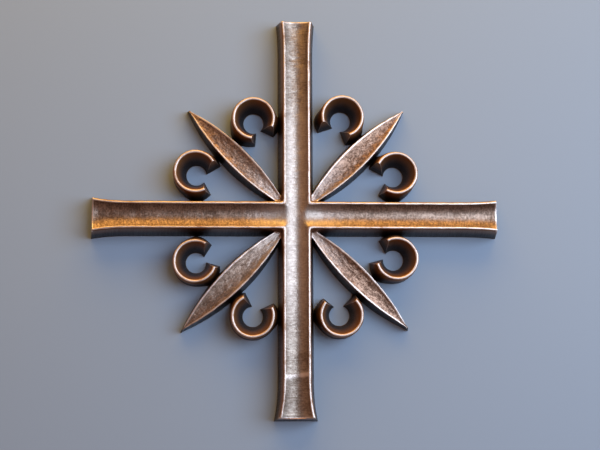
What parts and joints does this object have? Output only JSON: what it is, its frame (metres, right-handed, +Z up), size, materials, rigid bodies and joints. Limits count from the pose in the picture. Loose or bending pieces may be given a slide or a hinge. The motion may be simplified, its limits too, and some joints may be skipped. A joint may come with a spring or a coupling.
{
  "type": "bronze grave cross",
  "caption": "Cast bronze cross to fix on a gravestone, with dished arms, pointed leaves on the diagonals and C-shaped scrolls between arms and leaves.",
  "frame": {"origin": "middle of the crossing, on the flat back that meets the stone", "axes": "+Z up along the upright arms, +X to the right of someone facing the cross, +Y out of the back into the stone"},
  "size_m": [0.256, 0.018, 0.253],
  "materials": {
    "bronze": "dark brown patina with rubbed bright rims and a satin sheen"
  },
  "bodies": {
    "root": {"bronze_cross": "bronze"}
  },
  "joints": []
}
